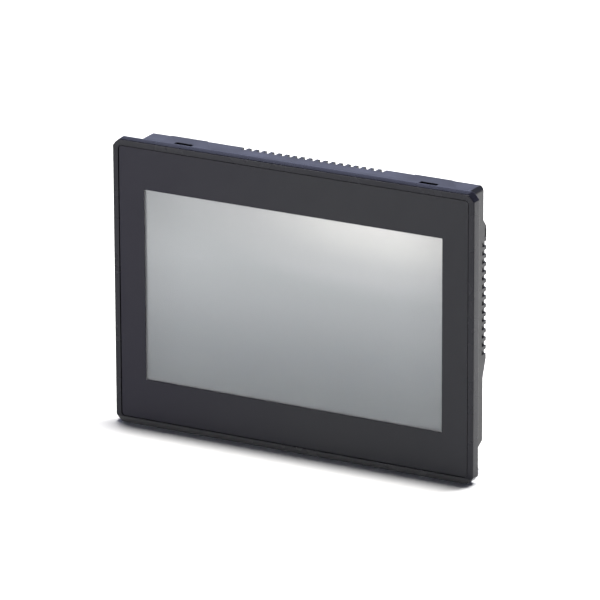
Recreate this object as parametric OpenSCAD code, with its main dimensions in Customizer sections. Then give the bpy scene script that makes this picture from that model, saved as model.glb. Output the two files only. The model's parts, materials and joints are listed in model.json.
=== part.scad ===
// Panel-mount operator touch panel with a wide display, built as separate pieces.
// X runs to the right seen from the front, Y runs back into the cabinet, Z runs up.
// The origin is the centre of the panel cut-out, in the plane of the panel's front surface.

/* [Front frame] */
// Width of the front frame
frame_w = 272; // [270:0.5:276]
// Height of the front frame
frame_h = 201; // [200:0.5:203]
// Thickness of the front frame
frame_t = 7; // [6.5:0.1:7.5]
// Radius of the frame's corners
frame_r = 6; // [3:0.5:8]
// Distance from the frame's edge to the middle of the groove round the overlay
groove_inset = 4.8; // [4.2:0.1:5.4]
// Width of the groove round the overlay
groove_w = 0.5; // [0.4:0.05:0.9]
// Depth of the overlay's face below the rim
overlay_sink = 0.45; // [0.3:0.05:0.45]
// Height that the uncompressed seal stands proud of the frame's back
seal_proud = 0.5; // [0.3:0.05:0.8]

/* [Display] */
// Width of the window in the overlay
window_w = 224.2; // [223:0.1:226]
// Height of the window in the overlay
window_h = 134.5; // [133.5:0.1:136]
// Width of the display module
lcd_w = 235; // [233:0.5:237]
// Height of the display module
lcd_h = 145; // [143:0.5:147]
// Depth of the display module
lcd_t = 7.25; // [7:0.05:7.25]
// Width of the touch screen
touch_w = 240; // [238:0.5:241]
// Height of the touch screen
touch_h = 150; // [148:0.5:151]
// Thickness of the touch screen
touch_t = 1.1; // [0.9:0.05:1.1]

/* [Housing] */
// Width of the rear cover
cover_w = 251; // [249:0.5:252]
// Height of the rear cover's top above the middle
cover_top_z = 96.5; // [96:0.1:97]
// Wall thickness of the rear cover
wall = 2.5; // [2:0.1:2.5]
// Depth of the panel from the front face to the back of the raised part
depth = 38; // [38:0.5:42]
// Height of the step between the cover's back and its raised part
bulge_t = 4.5; // [4:0.1:5]
// Angle of the slope under the cover
heel_slope = 30; // [28:1:32]

/* [Vents] */
// Number of vent slots along the top
top_vents = 19; // [11:2:21]
// Number of vent slots down each side
side_vents = 14; // [10:1:14]
// Distance from one vent slot to the next
vent_pitch = 5.76; // [5.5:0.01:5.8]
// Width of a vent slot
vent_w = 3; // [2:0.1:3.4]
// Depth of the notch that a side vent slot cuts in the cover's back edge
side_notch = 1.3; // [1:0.1:1.6]

/* [Clamp slots] */
// Distance from the middle to each clamp slot
clamp_x = 92; // [90:1:96]
// Length of a clamp slot
clamp_l = 13; // [10:0.5:14]
// Width of a clamp slot
clamp_t = 4.5; // [3:0.5:4.5]

/* [Connector bay] */
// Width of the bay that the connectors face down into
bay_w = 148; // [148:1:152]
// Height of the ledge that the connectors pass through
ledge_z = -76; // [-77:0.5:-76]
// Middle of the power connector
power_x = -58; // [-59:0.5:-57]
// Distance from one power terminal to the next
terminal_pitch = 5.08; // [5:0.01:5.08]
// Middle of the network jack
ethernet_x = -33; // [-34:0.5:-32]
// Middle of the large serial-bus socket
usb_host_x = -10; // [-11:0.5:-9]
// Middle of the small serial-bus socket
usb_device_x = 7; // [6:0.5:7]
// Middle of the nine-pole serial port
serial_x = 33; // [33:0.5:33.5]
// Middle of the memory card slot
card_x = 56.5; // [56:0.5:57]
// Middle of the earth terminal
earth_x = 69; // [68.5:0.5:69]

/* [Service parts] */
// Middle of the battery and its door, across
battery_x = 76; // [74:1:78]
// Middle of the battery and its door, up
battery_z = 10; // [0:1:20]
// Middle of the lever switch, across
dip_x = -90; // [-92:1:-88]
// Middle of the lever switch and the reset button, up
dip_z = -50; // [-52:1:-48]
// Middle of the reset button, across
reset_x = -68; // [-70:1:-66]
// Travel of the reset button
reset_travel = 0.8; // [0.4:0.1:0.8]

/* [Hidden] */

$fn = 48;
past = 40;      // behind everything
below = -120;   // under everything
slip = 0.3;     // gap round a part that passes through an opening

// Stations from front to back
front_y = -(frame_t + seal_proud);
frame_back_y = -seal_proud;
overlay_t = 0.3;
overlay_back_y = front_y + overlay_sink + overlay_t;
touch_back_y = overlay_back_y + touch_t;
gasket_t = 0.4;
lcd_front_y = touch_back_y + gasket_t;
lcd_back_y = lcd_front_y + lcd_t;
plate_t = 1.2;
plate_back_y = lcd_back_y + plate_t;
board_front_y = plate_back_y + 3.8;
board_y = board_front_y + 1.6;
back_y = front_y + depth;
shelf_y = back_y - bulge_t;

// Outlines of the front
recess_w = frame_w - 2 * groove_inset + groove_w;
recess_h = frame_h - 2 * groove_inset + groove_w;
overlay_w = recess_w - 2 * groove_w;
overlay_h = recess_h - 2 * groove_w;
overlay_r = 2.2;
recess_r = overlay_r + groove_w;
seal_w = 264;
seal_h = 199.2;
seal_band = 2.6;
seal_depth = 1;
glass_w = 229.4;
glass_h = 139.4;
glass_t = 1.3;

// Side profile of the cover
cover_r = 4;
draft_start_y = 13.5;
draft_step = [0.8, 0.25];
draft_drop = 0.35;
bulge_top_z = [72.5, 67.2];
bulge_bottom_z = [-37.2, -24.5];
heel_z = -80.7;
function under_z(y) = heel_z - (shelf_y - y) * tan(heel_slope);

// Support plate, board and their fixings
plate_size = [222, 176];
plate_window = [56, 40];
plate_window_x = [-62, 22];
plate_screw_at = [for (x = [-104, 104], z = [-83, 83]) [x, z]];
board_x = [-104, 104];
board_z = [-72, 80];
standoff_at = [for (x = [-98, 98], z = [-64, 72]) [x, z]];
cover_screw_at = [for (x = [-116, 116], z = [-76, 84]) [x, z]];
post_r = 3;
thread_r = 1.5;
head_r = 2.8;
head_t = 2;
ribbon_t = 0.3;
display_ribbon_x = -40;
display_ribbon_w = 22;
display_ribbon_z = [54, 61];
touch_ribbon_x = 60;
touch_ribbon_w = 10;
touch_ribbon_z = 73.9;
ribbon_room = 3;

// Vents, clamp pads and cover openings
top_vent_y = 21.5;
top_vent_low_z = 86;
side_vent_first_z = 55.5;
side_vent_y = 24.5;
pad_start = -17;
pad_end = [19.5, 10.7];
bay_front_y = 8;
counterbore_r = 3.2;
label_size = [62, 38];
label_t = 0.2;
label_at = [-35, 20];
side_mark_z = [60.3, 66.4];
side_mark_inset = 0.8;
side_mark_t = 0.4;
slot_back_y = 14;

// Connectors that stand on the back of the board
header_w = 18.4;
header_back_y = board_y + 10;
pin_y = board_y + 5;
plug_y = [9, 21];
plug_z = [ledge_z - 15, ledge_z - 0.8];
clamp_z = [plug_z[0] + 3, plug_z[0] + 12];
screw_z = plug_z[0] + 7.5;
terminal_x = [for (i = [-1:1]) power_x + i * terminal_pitch];
ethernet_back_y = board_y + 13.4;
usb_host_back_y = board_y + 5.8;
usb_device_back_y = board_y + 3.9;
card_back_y = board_y + 1.9;
serial_y = 15.2;
jack_screw_x = [serial_x - 12.5, serial_x + 12.5];
serial_face_z = ledge_z - 6.2;
earth_y = 16;
earth_r = 2;

// Battery door: it turns about a pin along its left edge, inside its own thickness
door_t = 1.8;
door_w = 38;
door_h = 36;
door_axis_x = battery_x - door_w / 2 + 0.1;
door_axis_y = back_y - door_t / 2;
door_x = [door_axis_x, door_axis_x + door_w];
door_z = [battery_z - door_h / 2, battery_z + door_h / 2];
door_pin_r = 0.6;
door_pin_l = 1.5;
notch_r = 5;
notch_t = 1.2;
tongue_x = [1.2, 0.4];
tongue_t = 2.2;
tongue_h = 10;
well_x = [door_x[0] + 2.9, door_x[1] - 3.1];
well_z = [door_z[0] + 3, door_z[1] - 3];

// Lever switch and reset button
lever_pitch = 2.54;
lever_slot_z = span(dip_z, 4.4);
lever_floor_y = 11.8;
dip_back_y = 13;
dip_base = [11.6, 9.6];
dip_window = [15, 12];
lever_w = 1.2;
lever_l = 1.6;
lever_gap = 0.2;
reset_switch_y = board_y + 3.5;
reset_stem_r = 2;

// A span of a given width round a middle
function span(middle, width) = [middle - width / 2, middle + width / 2];

// A box given by its spans along X, Y and Z
module block(x, y, z) {
    translate([x[0], y[0], z[0]]) cube([x[1] - x[0], y[1] - y[0], z[1] - z[0]]);
}

// An outline in X and Z drawn back along Y
module along_y(y) {
    translate([0, y[1], 0]) rotate([90, 0, 0]) linear_extrude(y[1] - y[0]) children();
}

// An outline in Y and Z drawn sideways along X
module along_x(x) {
    translate([x[0], 0, 0]) rotate([90, 0, 90]) linear_extrude(x[1] - x[0]) children();
}

// A round bar along Y, at a place in X and Z
module rod_y(at, y, r) {
    translate([at[0], y[1], at[1]]) rotate([90, 0, 0]) cylinder(h = y[1] - y[0], r = r);
}

// A round bar along Z, at a place in X and Y
module rod_z(at, z, r) {
    translate([at[0], at[1], z[0]]) cylinder(h = z[1] - z[0], r = r);
}

// A rectangle with round corners
module round_rect(w, h, r) {
    square([w - 2 * r, h], center = true);
    square([w, h - 2 * r], center = true);
    for (x = [-1, 1], z = [-1, 1])
        translate([x * (w / 2 - r), z * (h / 2 - r)]) circle(r);
}

// A flat ring with round corners
module round_ring(w, h, r, band) {
    difference() {
        round_rect(w, h, r);
        round_rect(w - 2 * band, h - 2 * band, r - 0.5);
    }
}

// Pan-head machine screw along Y, its head at the back
module screw_y(at, head_y, length) {
    difference() {
        union() {
            rod_y(at, [head_y, head_y + head_t], head_r);
            rod_y(at, [head_y - length, head_y], thread_r - 0.05);
        }
        for (turn = [0, 90])
            translate([at[0], head_y + head_t, at[1]]) rotate([0, turn, 0])
                cube([3.2, 2, 0.7], center = true);
    }
}

module front_frame() color("#3b3c42") difference() {
    union() {
        along_y([front_y, frame_back_y]) round_rect(frame_w, frame_h, frame_r);
        for (at = cover_screw_at) rod_y(at, [frame_back_y - 1, shelf_y - wall], post_r);
        for (at = plate_screw_at) rod_y(at, [frame_back_y - 1, lcd_back_y], post_r);
    }
    along_y([front_y - 1, overlay_back_y]) round_rect(recess_w, recess_h, recess_r);
    along_y([front_y - 1, frame_back_y + 1]) round_rect(touch_w + 0.6, touch_h + 0.6, 1);
    along_y([frame_back_y - seal_depth, frame_back_y + 1]) round_ring(seal_w, seal_h, 3, seal_band);
    for (at = cover_screw_at) rod_y(at, [shelf_y - wall - 10, past], thread_r);
    for (at = plate_screw_at) rod_y(at, [frame_back_y - 5, past], thread_r);
}

module front_overlay() color("#3e3f46")
    along_y([front_y + overlay_sink, overlay_back_y]) difference() {
        round_rect(overlay_w, overlay_h, overlay_r);
        square([window_w, window_h], center = true);
    }

module touch_screen() color("#a9afb4")
    along_y([overlay_back_y, touch_back_y]) square([touch_w, touch_h], center = true);

module touch_gasket() color("#1c1c1e")
    along_y([touch_back_y, lcd_front_y]) difference() {
        square([lcd_w, lcd_h], center = true);
        square([window_w + 1, window_h + 1], center = true);
    }

module lcd_glass() color("#b9bec2")
    along_y([lcd_front_y, lcd_front_y + glass_t]) square([glass_w, glass_h], center = true);

module lcd_chassis() color("silver") difference() {
    along_y([lcd_front_y, lcd_back_y]) square([lcd_w, lcd_h], center = true);
    along_y([lcd_front_y - 1, lcd_front_y + glass_t]) square([glass_w, glass_h], center = true);
}

module panel_seal() color("#141416")
    along_y([frame_back_y - seal_depth, 0]) round_ring(seal_w, seal_h, 3, seal_band);

module support_plate() color("#b5b8ba") difference() {
    along_y([lcd_back_y, plate_back_y]) round_rect(plate_size[0], plate_size[1], 4);
    for (at = plate_screw_at) rod_y(at, [0, past], thread_r + 0.1);
    block(span(display_ribbon_x, display_ribbon_w + ribbon_room), [0, past],
        [display_ribbon_z[0] - ribbon_room, display_ribbon_z[1] + ribbon_room]);
    block(span(touch_ribbon_x, touch_ribbon_w + ribbon_room), [0, past],
        span(touch_ribbon_z, ribbon_room));
    for (x = plate_window_x) block(span(x, plate_window[0]), [0, past], span(-26, plate_window[1]));
}

module plate_screws() color("silver") for (at = plate_screw_at) screw_y(at, plate_back_y, 6);

module board_standoffs() color("gold") for (at = standoff_at) difference() {
    rod_y(at, [plate_back_y, board_front_y], 3);
    rod_y(at, [plate_back_y + 0.6, past], thread_r);
}

module main_board() color("#1d5a34") difference() {
    block(board_x, [board_front_y, board_y], board_z);
    for (at = standoff_at) rod_y(at, [0, past], thread_r + 0.1);
}

module board_screws() color("silver") for (at = standoff_at) screw_y(at, board_y, 4.2);

chip_t = 1.6;
sink_base_t = 3;
sink_t = 15;
sink_at = [10, 15];
sink_w = 50;
chip_w = 27;
module processor_chip() color("#222222")
    block(span(sink_at[0], chip_w), [board_y, board_y + chip_t], span(sink_at[1], chip_w));

module processor_heat_sink() color("#2e2e30") {
    base_y = board_y + chip_t;
    fin_y = [base_y + sink_base_t, base_y + sink_t];
    fins = 10;
    fin_t = 1.4;
    block(span(sink_at[0], sink_w), [base_y, fin_y[0]], span(sink_at[1], sink_w));
    for (i = [0:fins - 1])
        block(span(sink_at[0] + (i - (fins - 1) / 2) * (sink_w - fin_t) / (fins - 1), fin_t),
            [fin_y[0] - 0.5, fin_y[1]], span(sink_at[1], sink_w));
}

memory_at = [[-34, 2], [-34, 20]];
memory_size = [10.5, 1.2, 13];
module memory_chips() color("#1a1a1c") for (at = memory_at)
    block(span(at[0], memory_size[0]), [board_y, board_y + memory_size[1]],
        span(at[1], memory_size[2]));

capacitor_at = [for (x = [-84, -72, -60]) [x, -8]];
capacitor_r = 5;
capacitor_t = 10.5;
module capacitors() color("#5b6068") for (at = capacitor_at)
    rod_y(at, [board_y, board_y + capacitor_t], capacitor_r);

buzzer_at = [-34, -26];
buzzer_r = 6;
buzzer_t = 5.5;
module buzzer() color("#18181a") difference() {
    rod_y(buzzer_at, [board_y, board_y + buzzer_t], buzzer_r);
    rod_y(buzzer_at, [board_y + buzzer_t / 2, past], buzzer_r / 6);
}

// Flat cable that steps from the display's back through the plate to the board
module display_ribbon() color("#c98a3c") {
    x = span(display_ribbon_x, display_ribbon_w);
    turn_y = (plate_back_y + board_front_y) / 2;
    z = display_ribbon_z;
    block(x, [lcd_back_y, turn_y], [z[1], z[1] + ribbon_t]);
    block(x, [turn_y - ribbon_t, turn_y], z);
    block(x, [turn_y - ribbon_t, board_front_y], [z[0] - ribbon_t, z[0]]);
}

module touch_ribbon() color("#c98a3c")
    block(span(touch_ribbon_x, touch_ribbon_w), [touch_back_y, board_front_y],
        span(touch_ribbon_z, ribbon_t));

// The cover's side profile, moved inward by a wall's thickness where inset is the wall
module cover_profile(inset) {
    top_turn = inset * 0.367;
    bottom_turn = inset * 0.172;
    lift = inset / cos(heel_slope);
    start_y = frame_back_y - (inset > 0 ? 1 : 0);
    polygon([
        [start_y, cover_top_z - inset],
        [draft_start_y, cover_top_z - inset],
        [draft_start_y + draft_step[0], cover_top_z - inset - draft_step[1]],
        [shelf_y - inset, cover_top_z - inset - draft_drop],
        [shelf_y - inset, bulge_top_z[0] - top_turn],
        [back_y - inset, bulge_top_z[1] - top_turn],
        [back_y - inset, bulge_bottom_z[1] + bottom_turn],
        [shelf_y - inset, bulge_bottom_z[0] + bottom_turn],
        [shelf_y - inset, under_z(shelf_y - inset) + lift],
        [start_y, under_z(start_y) + lift]
    ]);
}

// Pads that stay level where the cover's top steps down and starts to slope
module clamp_pads() {
    for (x = [-clamp_x, clamp_x])
        translate([x, 0, cover_top_z - 2]) linear_extrude(2) polygon([
            [pad_start, draft_start_y], [pad_end[0], draft_start_y],
            [pad_end[1], shelf_y], [pad_start, shelf_y]
        ]);
}

module cover_vents() {
    for (i = [0:top_vents - 1])
        block(span((i - (top_vents - 1) / 2) * vent_pitch, vent_w), [top_vent_y, past],
            [top_vent_low_z, cover_top_z + 1]);
    for (side = [-1, 1], i = [0:side_vents - 1]) {
        z = span(side_vent_first_z - i * vent_pitch, vent_w);
        block(span(side * cover_w / 2, 2 * wall + 1), [side_vent_y, back_y - wall], z);
        block(span(side * cover_w / 2, 2 * side_notch), [side_vent_y, past], z);
    }
}

// Places where the connectors pass through the ledge
module ledge_openings() {
    z = [ledge_z - 1, ledge_z + wall + 1];
    block(span(power_x, header_w + 2 * slip), [board_y - slip, header_back_y + slip], z);
    block(span(ethernet_x, jack_w + 2 * slip), [board_y - slip, ethernet_back_y + slip], z);
    block(span(usb_host_x, usb_host_w + 2 * slip), [board_y - slip, usb_host_back_y + slip], z);
    block(span(usb_device_x, usb_device_w + 2 * slip), [board_y - slip, usb_device_back_y + slip], z);
    block(span(serial_x, 18.6), span(serial_y, 9), z);
    block(span(card_x, card_w + 2 * slip), [board_y - slip, card_back_y + slip], z);
    for (x = jack_screw_x) rod_z([x, serial_y], z, thread_r + 0.1);
    rod_z([earth_x, earth_y], z, earth_r + 0.1);
}

module rear_cover() color("#2c2c31") difference() {
    union() {
        intersection() {
            along_x([-cover_w / 2, cover_w / 2]) cover_profile(0);
            along_y([frame_back_y, back_y]) round_rect(cover_w, 2 * cover_top_z, cover_r);
        }
        clamp_pads();
    }
    // the hollow inside, less the walls round the connector bay
    difference() {
        along_x([-cover_w / 2 + wall, cover_w / 2 - wall]) cover_profile(wall);
        block(span(0, bay_w + 2 * wall), [bay_front_y - wall, past], [below, ledge_z + wall]);
    }
    block(span(0, bay_w), [bay_front_y, past], [below, ledge_z]);
    ledge_openings();
    cover_vents();
    // clamp slots, top and bottom
    for (x = [-clamp_x, clamp_x], z = [[cover_top_z - 6, cover_top_z + 1], [-100, -80]])
        block(span(x, clamp_l), [slot_back_y - clamp_t, slot_back_y], z);
    // screws
    for (at = cover_screw_at) {
        rod_y(at, [shelf_y - wall - 1, past], thread_r + 0.15);
        rod_y(at, [shelf_y - head_t + 0.5, past], counterbore_r);
    }
    // side marks, label recess, windows for the lever switch and the reset button
    for (side = [-1, 1])
        block(span(side * cover_w / 2, 2 * side_mark_t),
            [shelf_y + side_mark_inset, back_y - side_mark_inset], side_mark_z);
    block(span(label_at[0], label_size[0]), [back_y - label_t, past],
        span(label_at[1], label_size[1]));
    block(span(dip_x, dip_window[0]), [dip_back_y + 2, past], span(dip_z, dip_window[1]));
    rod_y([reset_x, dip_z], [dip_back_y + 2, past], reset_stem_r + 0.4);
    // battery well, door pocket, finger notch and hinge holes
    block(well_x, [dip_back_y + 2, past], well_z);
    block([door_axis_x - door_t / 2 - slip, door_x[1] + slip], [back_y - door_t, past],
        [door_z[0] - slip, door_z[1] + slip]);
    rod_y([door_x[1] + 1, battery_z], [back_y - notch_t, past], notch_r);
    for (z = [[door_z[0] - door_pin_l - 0.3, door_z[0]], [door_z[1], door_z[1] + door_pin_l + 0.3]])
        rod_z([door_axis_x, door_axis_y], z, door_pin_r + 0.05);
}

module rear_cover_screws() color("silver")
    for (at = cover_screw_at) screw_y(at, shelf_y - head_t + 0.5, 10);

module rating_label() color("#c9cccf")
    block(span(label_at[0], label_size[0]), [back_y - label_t, back_y],
        span(label_at[1], label_size[1]));

module battery_door() color("#2c2c31") {
    rod_z([door_axis_x, door_axis_y], door_z, door_t / 2);
    rod_z([door_axis_x, door_axis_y], [door_z[0] - door_pin_l, door_z[1] + door_pin_l], door_pin_r);
    block(door_x, [back_y - door_t, back_y], door_z);
    // latch tongue behind the free edge
    block([well_x[1] - tongue_x[0], well_x[1] - tongue_x[1]],
        [back_y - door_t - tongue_t, back_y - door_t], span(battery_z, tongue_h));
}

cell_r = 10;
cell_front_y = board_y + 0.8;
holder_y = [board_y, board_y + 3.6];
holder_ear = [12, 27];
module coin_cell_holder() color("#202024") difference() {
    union() {
        rod_y([battery_x, battery_z], holder_y, cell_r + 1.8);
        block(span(battery_x, holder_ear[0]), holder_y, span(battery_z, holder_ear[1]));
    }
    rod_y([battery_x, battery_z], [cell_front_y, past], cell_r + 0.2);
    block(span(battery_x, 8), [cell_front_y, past], [battery_z - 2 * cell_r, battery_z]);
}

module coin_cell() color("silver") {
    rod_y([battery_x, battery_z], [cell_front_y, cell_front_y + 0.8], cell_r - 1);
    rod_y([battery_x, battery_z], [cell_front_y + 0.8, cell_front_y + 3.2], cell_r);
}

function lever_x(i) = dip_x + (i - 2.5) * lever_pitch;

module dip_switch_base() color("#7c1f22") difference() {
    block(span(dip_x, dip_base[0]), [board_y, dip_back_y], span(dip_z, dip_base[1]));
    for (i = [1:4])
        block(span(lever_x(i), lever_w + 2 * lever_gap), [lever_floor_y, past], lever_slot_z);
}

// One lever of the lever switch, at the lower end of its slot
module dip_lever(i) color("white")
    block(span(lever_x(i), lever_w), [lever_floor_y + 0.1, dip_back_y + 1.2],
        [lever_slot_z[0] + lever_gap, lever_slot_z[0] + lever_gap + lever_l]);

module reset_switch() color("#3a3a3e")
    block(span(reset_x, 6), [board_y, reset_switch_y], span(dip_z, 6));

module reset_button() color("#8a8d90") {
    collar_y = shelf_y - wall - 0.1;
    rod_y([reset_x, dip_z], [reset_switch_y + reset_travel + 0.05, shelf_y - 0.3], reset_stem_r);
    rod_y([reset_x, dip_z], [collar_y - 1, collar_y], reset_stem_r + 1.2);
}

pin_w = 1;
pin_z = [ledge_z + 1, ledge_z + 16];

// The pins and the legs that join them to the board
module power_pin_shapes() {
    for (x = terminal_x) {
        block(span(x, pin_w), span(pin_y, pin_w), pin_z);
        block(span(x, pin_w), [board_y, pin_y], [pin_z[1] - pin_w, pin_z[1]]);
    }
}

header_wall = 1;
header_z = [ledge_z - 0.6, ledge_z + 12];
header_floor_z = ledge_z + 9;
module power_header() color("#2f7d46") difference() {
    block(span(power_x, header_w), [board_y, header_back_y], header_z);
    block(span(power_x, header_w - 2 * header_wall),
        [board_y + header_wall, header_back_y - header_wall], [below, header_floor_z]);
    power_pin_shapes();
}

module power_pins() color("gold") power_pin_shapes();

plug_slip = 0.2;
wire_clamp_w = 3.6;
wire_entry_w = 3.2;
pin_way_w = 1.8;
driver_way_r = 2;
screw_shank_r = 1.2;
screw_head_r = 1.8;
screw_head_y = [18.1, 20.4];
screw_slot_w = 0.6;
screw_slot_y = 19.6;
module power_plug_body() color("#2f7d46") difference() {
    union() {
        block(span(power_x, header_w - 2 * (header_wall + plug_slip)),
            [board_y + header_wall + plug_slip, header_back_y - header_wall - plug_slip],
            [plug_z[1] - 1, header_floor_z - 1]);
        block(span(power_x, header_w - 0.4), plug_y, plug_z);
    }
    for (x = terminal_x) {
        block(span(x, pin_way_w), span(pin_y, pin_way_w), [clamp_z[1] - 1, header_floor_z]);
        block(span(x, wire_clamp_w), span(pin_y, wire_clamp_w), clamp_z);
        block(span(x, wire_entry_w), span(pin_y, wire_entry_w), [plug_z[0] - 1, clamp_z[0] + 1]);
        rod_y([x, screw_z], [pin_y, past], screw_shank_r + 0.1);
        rod_y([x, screw_z], [screw_head_y[0] - 0.1, past], driver_way_r);
    }
}

wire_clamp_bore = [2.6, 2.2];
module plug_wire_clamps() color("silver") for (x = terminal_x) difference() {
    block(span(x, wire_clamp_w), span(pin_y, wire_clamp_w), clamp_z);
    block(span(x, wire_clamp_bore[0]), span(pin_y, wire_clamp_bore[1]),
        [clamp_z[0] - 1, clamp_z[1] + 1]);
    rod_y([x, screw_z], [pin_y, past], screw_shank_r + 0.1);
}

module terminal_screw(i) color("silver") {
    at = [terminal_x[i - 1], screw_z];
    difference() {
        union() {
            rod_y(at, screw_head_y, screw_head_r);
            rod_y(at, [pin_y + 0.2, screw_head_y[0]], screw_shank_r);
        }
        block(span(at[0], 5), [screw_slot_y, past], span(at[1], screw_slot_w));
    }
}

jack_w = 16;
jack_wall = 0.4;
jack_z = [ledge_z - 0.6, ledge_z + 20.9];
jack_plug = [11.9, 8.2];
jack_plug_depth = 13;
jack_latch = [6.2, 1.6];
jack_floor_y = board_y + 2.6;
contact_pitch = 1.02;
contact_w = 0.45;
module ethernet_jack_shell() color("silver") difference() {
    block(span(ethernet_x, jack_w), [board_y, ethernet_back_y], jack_z);
    block(span(ethernet_x, jack_w - 2 * jack_wall),
        [board_y + jack_wall, ethernet_back_y - jack_wall], [below, jack_z[1] - jack_wall]);
}

module ethernet_jack_insert() color("#1d1d20") difference() {
    cavity_back_y = jack_floor_y + jack_plug[1];
    z = [below, ledge_z + jack_plug_depth];
    block(span(ethernet_x, jack_w - 2 * jack_wall),
        [board_y + jack_wall, ethernet_back_y - jack_wall], [ledge_z - 0.4, jack_z[1] - jack_wall]);
    block(span(ethernet_x, jack_plug[0]), [jack_floor_y, cavity_back_y], z);
    block(span(ethernet_x, jack_latch[0]), [cavity_back_y - 0.1, cavity_back_y + jack_latch[1]], z);
}

module ethernet_contacts() color("gold") for (i = [0:7])
    block(span(ethernet_x + (i - 3.5) * contact_pitch, contact_w),
        [jack_floor_y, jack_floor_y + 1], [ledge_z + 2, ledge_z + jack_plug_depth]);

// Serial-bus sockets: a folded steel shell and a tongue that stands in it
usb_host_w = 13.2;
usb_host_wall = 0.35;
usb_host_z = [ledge_z - 1, ledge_z + 13];
usb_host_base_z = ledge_z + 9.6;
module usb_host_shell() color("silver") difference() {
    block(span(usb_host_x, usb_host_w), [board_y, usb_host_back_y], usb_host_z);
    block(span(usb_host_x, usb_host_w - 2 * usb_host_wall),
        [board_y + usb_host_wall, usb_host_back_y - usb_host_wall],
        [below, usb_host_z[1] - usb_host_wall]);
}

module usb_host_tongue() color("#e8e8e4") {
    block(span(usb_host_x, usb_host_w - 2 * usb_host_wall),
        [board_y + usb_host_wall, usb_host_back_y - usb_host_wall],
        [usb_host_base_z, usb_host_z[1] - usb_host_wall]);
    block(span(usb_host_x, 11.1), [board_y + 0.7, board_y + 2.6],
        [ledge_z - 0.2, usb_host_base_z]);
}

usb_device_w = 7.7;
usb_device_wall = 0.35;
usb_device_z = [ledge_z - 0.8, ledge_z + 8.4];
usb_device_base_z = ledge_z + 5.5;
module usb_device_shell() color("silver") difference() {
    block(span(usb_device_x, usb_device_w), [board_y, usb_device_back_y], usb_device_z);
    block(span(usb_device_x, usb_device_w - 2 * usb_device_wall),
        [board_y + usb_device_wall, usb_device_back_y - usb_device_wall],
        [below, usb_device_z[1] - usb_device_wall]);
}

module usb_device_tongue() color("#1d1d20") {
    block(span(usb_device_x, usb_device_w - 2 * usb_device_wall),
        [board_y + usb_device_wall, usb_device_back_y - usb_device_wall],
        [usb_device_base_z, usb_device_z[1] - usb_device_wall]);
    block(span(usb_device_x, 4), span((board_y + usb_device_back_y) / 2, 1),
        [ledge_z, usb_device_base_z]);
}

// D-shaped outline of the serial port, its wide side at the back
module serial_outline(grow) {
    translate([serial_x, serial_y]) polygon([
        [-7 - grow, -3.95 - grow], [7 + grow, -3.95 - grow],
        [8.2 + grow, 3.95 + grow], [-8.2 - grow, 3.95 + grow]
    ]);
}

serial_flange = [30.8, 12.5, 0.8];
serial_wall = 0.5;
serial_pitch = 2.77;
serial_row_y = 1.4;
serial_hole_r = 0.6;
jack_screw_bore_r = 1.35;
module serial_port_shell() color("silver") difference() {
    union() {
        block(span(serial_x, serial_flange[0]), span(serial_y, serial_flange[1]),
            [ledge_z - serial_flange[2], ledge_z]);
        translate([0, 0, serial_face_z]) linear_extrude(5.5) serial_outline(0);
    }
    translate([0, 0, serial_face_z - 1]) linear_extrude(10) serial_outline(-serial_wall);
    for (x = jack_screw_x) rod_z([x, serial_y], [below, 0], thread_r + 0.1);
}

module serial_port_insert() color("#1d1d20") difference() {
    union() {
        translate([0, 0, serial_face_z + 0.1]) linear_extrude(10) serial_outline(-serial_wall);
        block(span(serial_x, 18), [board_y, serial_y + 6], [ledge_z + wall, ledge_z + 14]);
    }
    // five holes in one row, four in the other
    for (row = [[5, serial_row_y], [4, -serial_row_y]], i = [0:row[0] - 1])
        rod_z([serial_x + (i - (row[0] - 1) / 2) * serial_pitch, serial_y + row[1]],
            [below, serial_face_z + 7], serial_hole_r);
}

module serial_jack_screws() color("silver") for (x = jack_screw_x) difference() {
    flange_z = ledge_z - serial_flange[2];
    union() {
        translate([x, serial_y, flange_z - 5]) cylinder(h = 5, r = 2.75, $fn = 6);
        rod_z([x, serial_y], [flange_z, ledge_z + 3.5], thread_r);
    }
    rod_z([x, serial_y], [below, flange_z - 0.5], jack_screw_bore_r);
}

card_w = 14;
card_slot = [11.4, 1.1, 12];
module memory_card_slot() color("silver") difference() {
    block(span(card_x, card_w), [board_y, card_back_y], [ledge_z - 0.4, ledge_z + 15]);
    block(span(card_x, card_slot[0]), span((board_y + card_back_y) / 2, card_slot[1]),
        [below, ledge_z + card_slot[2]]);
}

earth_tab_t = 1.2;
earth_head = [3.6, 2.6];
earth_cross = [4.4, 0.9, 2.6];
module earth_tab() color("silver") difference() {
    block(span(earth_x - 0.5, 9), span(earth_y, 10), [ledge_z - earth_tab_t, ledge_z]);
    rod_z([earth_x, earth_y], [below, 0], earth_r + 0.1);
}

module earth_screw() color("gold") difference() {
    head_z = ledge_z - earth_tab_t;
    union() {
        rod_z([earth_x, earth_y], [head_z - earth_head[1], head_z], earth_head[0]);
        rod_z([earth_x, earth_y], [head_z, ledge_z + wall + 4], earth_r);
    }
    for (turn = [0, 90])
        translate([earth_x, earth_y, head_z - earth_head[1]]) rotate(turn)
            cube(earth_cross, center = true);
}

module earth_nut() color("silver") difference() {
    translate([earth_x, earth_y, ledge_z + wall]) cylinder(h = 3.2, r = 4.04, $fn = 6);
    rod_z([earth_x, earth_y], [ledge_z, 0], earth_r);
}

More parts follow.
